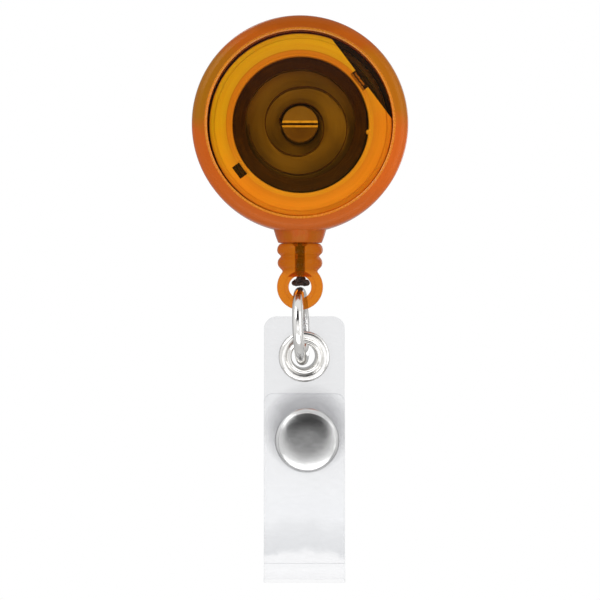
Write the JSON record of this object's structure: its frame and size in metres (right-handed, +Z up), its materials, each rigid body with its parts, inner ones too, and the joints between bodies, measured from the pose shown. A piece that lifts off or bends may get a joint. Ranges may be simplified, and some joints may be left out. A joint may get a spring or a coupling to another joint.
{
  "type": "retractable badge reel",
  "caption": "Round retractable badge reel in clear orange plastic, with a spring-wound cord, a link ring, a clear snap strap and a belt clip.",
  "frame": {"origin": "inside the top of the belt clip's bend, where the edge of a belt or pocket bears", "axes": "+Z up along the hanging reel, -Y out of the front window, +X to the right seen from the front"},
  "size_m": [0.032, 0.0152, 0.0839],
  "materials": {
    "orange_plastic": "clear, moulded, polished",
    "ivory_plastic": "moulded, satin",
    "spring_steel": "oiled blue-brown strip",
    "cord": "braided nylon",
    "nickel_wire": "bright nickel plate",
    "nickel": "bright nickel plate",
    "brushed_nickel": "brushed nickel plate",
    "clip_steel": "nickel-plated spring steel",
    "clear_vinyl": "clear soft vinyl sheet"
  },
  "bodies": {
    "case": {"front_cover": "orange_plastic", "back_cover": "orange_plastic", "mainspring_arm": "spring_steel", "cord_lead": "cord", "belt_clip": "clip_steel", "clip_rivet": "nickel"},
    "clip_tongue": {"clip_tongue": "clip_steel"},
    "spool": {"spool": "ivory_plastic", "mainspring_pack": "spring_steel", "cord_winding": "cord", "cord_anchor": "cord"},
    "cord_end": {"cord_run": "cord", "cord_knot": "cord"},
    "fitting": {"cord_end_fitting": "orange_plastic"},
    "ring": {"link_ring": "nickel_wire"},
    "strap": {"strap_rear": "clear_vinyl", "eyelet": "nickel", "eyelet_washer": "nickel", "snap_stud": "nickel", "snap_post": "nickel"},
    "flap": {"strap_front": "clear_vinyl", "snap_cap": "brushed_nickel", "snap_socket": "nickel"}
  },
  "joints": [
    {"name": "cord_pull", "type": "slide", "parent": "case", "child": "cord_end", "axis": [0, 0, -1], "range_m": [0, 0.7], "stiffness_N_per_m": 0.6, "springref_m": -1, "deforming": ["cord_run"]},
    {"name": "spool_spin", "type": "hinge", "parent": "case", "child": "spool", "pos_m": [0, -0.0074, -0.0143], "axis": [0, 1, 0], "range_deg": [0, 3300]},
    {"name": "fitting_twist", "type": "hinge", "parent": "cord_end", "child": "fitting", "pos_m": [0, -0.0074, -0.0343], "axis": [0, 0, 1], "continuous": true},
    {"name": "ring_swing", "type": "hinge", "parent": "fitting", "child": "ring", "pos_m": [0, -0.0074, -0.0392], "axis": [0, 1, 0], "range_deg": [-80, 80]},
    {"name": "strap_lift", "type": "hinge", "parent": "ring", "child": "strap", "pos_m": [0.00018, -0.0074, -0.04425], "axis": [0.9944, -0.0993, 0.0349], "range_deg": [-90, 90]},
    {"name": "flap_open", "type": "hinge", "parent": "strap", "child": "flap", "pos_m": [0.00065, -0.00975, -0.08195], "axis": [1, 0, 0], "range_deg": [0, 180]},
    {"name": "clip_flex", "type": "hinge", "parent": "case", "child": "clip_tongue", "pos_m": [0, 0, -0.0015], "axis": [1, 0, 0], "range_deg": [0, 8], "stiffness_Nm_per_rad": 0.3, "springref_deg": -2.86}
  ],
  "couplings": [
    {"joint": "spool_spin", "follows": "cord_pull", "rad_per_m": 82}
  ]
}
